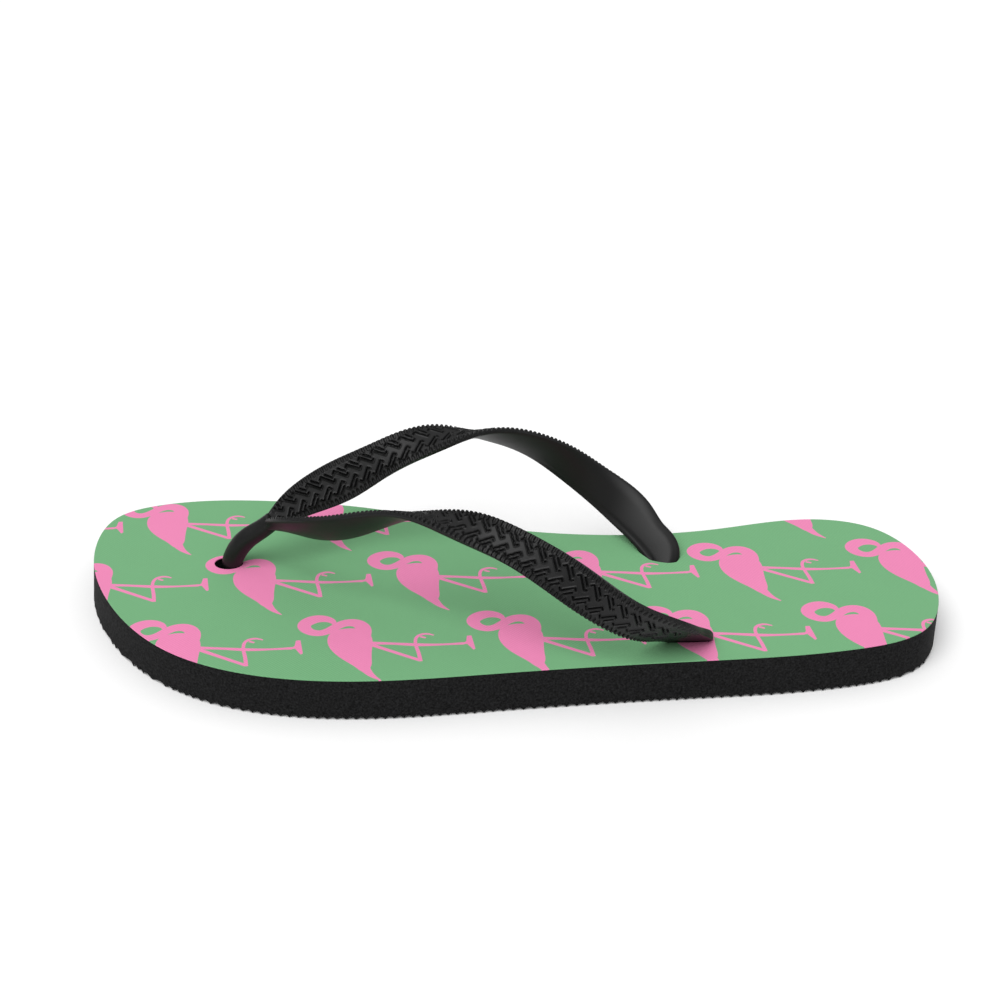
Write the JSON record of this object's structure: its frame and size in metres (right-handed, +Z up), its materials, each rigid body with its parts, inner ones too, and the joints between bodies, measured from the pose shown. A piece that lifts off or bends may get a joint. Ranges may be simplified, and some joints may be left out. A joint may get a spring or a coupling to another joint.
{
  "type": "flip flop",
  "caption": "Left-foot flip flop: flat foam sole with a printed fabric footbed and a thong strap of two twisted arms and a toe post, plugged through the sole.",
  "frame": {"origin": "on the ground, under the middle of the sole's bounding box", "axes": "+X from toe to heel, +Y from the outer (lateral) edge to the inner (medial) edge, +Z up"},
  "size_m": [0.2803, 0.1041, 0.0576],
  "materials": {
    "foam": "matt closed-cell foam rubber with a fine speckle",
    "printed_fabric": "fine woven footbed cloth, green ground with a pink bird print",
    "strap_rubber": "satin moulded strap, embossed herringbone on the outer face, smooth inner face"
  },
  "bodies": {
    "midfoot": {"outsole_midfoot": "foam", "footbed_midfoot": "printed_fabric", "side_plug_medial": "strap_rubber", "side_plug_lateral": "strap_rubber"},
    "forefoot": {"outsole_forefoot": "foam", "footbed_forefoot": "printed_fabric", "toe_plug": "strap_rubber"},
    "heel": {"outsole_heel": "foam", "footbed_heel": "printed_fabric"},
    "strap": {"strap_arm_medial": "strap_rubber", "strap_arm_lateral": "strap_rubber"},
    "toe_post": {"toe_post": "strap_rubber"}
  },
  "joints": [
    {"name": "ball_flex", "type": "hinge", "parent": "midfoot", "child": "forefoot", "pos_m": [-0.052, 0, 0.015], "axis": [0, 1, 0], "range_deg": [0, 30], "stiffness_Nm_per_rad": 1.2},
    {"name": "heel_flex", "type": "hinge", "parent": "midfoot", "child": "heel", "pos_m": [0.08, 0, 0.015], "axis": [0, -1, 0], "range_deg": [0, 20], "stiffness_Nm_per_rad": 1.8},
    {"name": "strap_follow", "type": "hinge", "parent": "midfoot", "child": "strap", "pos_m": [0.056, 0.0015, 0.015], "axis": [-0.1881, 0.9822, 0], "range_deg": [0, 9.3]},
    {"name": "post_tilt", "type": "hinge", "parent": "strap", "child": "toe_post", "pos_m": [-0.0775, 0.0104, 0.0345], "axis": [0, -1, 0], "range_deg": [0, 9.9]}
  ],
  "couplings": [
    {"joint": "strap_follow", "follows": "ball_flex", "ratio": 0.309},
    {"joint": "post_tilt", "follows": "ball_flex", "ratio": 0.327}
  ]
}
